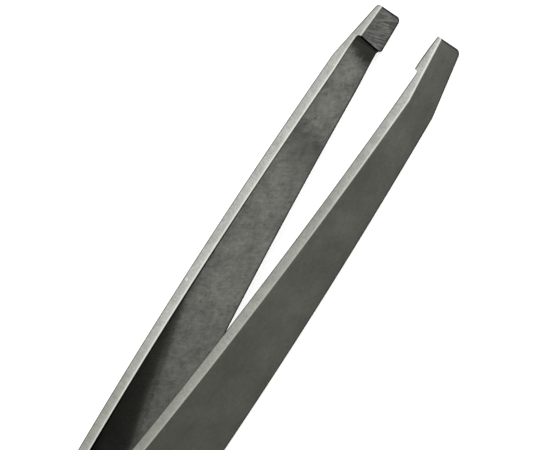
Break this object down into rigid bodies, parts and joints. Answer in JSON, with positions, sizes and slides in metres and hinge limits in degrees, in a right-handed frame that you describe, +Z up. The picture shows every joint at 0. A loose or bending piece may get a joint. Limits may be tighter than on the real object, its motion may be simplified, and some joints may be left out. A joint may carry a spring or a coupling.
{
  "type": "tweezers",
  "caption": "Steel hand tweezers: bowed strip arms joined at a flat heel, sprung apart, with short stepped gripping lands at their square-cut tips.",
  "frame": {"origin": "centre of the box at its underside, where the tweezers lie on the lower edges of their arms", "axes": "+X from the heel towards the tips, +Y towards the left arm, +Z up from the surface they lie on"},
  "size_m": [0.095, 0.0132, 0.0104],
  "materials": {
    "arm_steel": "satin grey, tumbled faces and finely ground edges",
    "weld_steel": "dull, as welded"
  },
  "bodies": {
    "heel": {"heel_left": "arm_steel", "heel_right": "arm_steel", "heel_spot_weld_1": "weld_steel", "heel_spot_weld_2": "weld_steel"},
    "left_arm": {"arm_left": "arm_steel"},
    "right_arm": {"arm_right": "arm_steel"}
  },
  "joints": [
    {"name": "left_arm_bend", "type": "hinge", "parent": "heel", "child": "left_arm", "pos_m": [-0.01849, 0.00154, 0.00547], "axis": [-0.0598, 0, -0.9982], "range_deg": [0, 4.02], "stiffness_Nm_per_rad": 1.3},
    {"name": "right_arm_bend", "type": "hinge", "parent": "heel", "child": "right_arm", "pos_m": [-0.01849, -0.00154, 0.00547], "axis": [0.0598, 0, 0.9982], "range_deg": [0, 4.02], "stiffness_Nm_per_rad": 1.3}
  ]
}
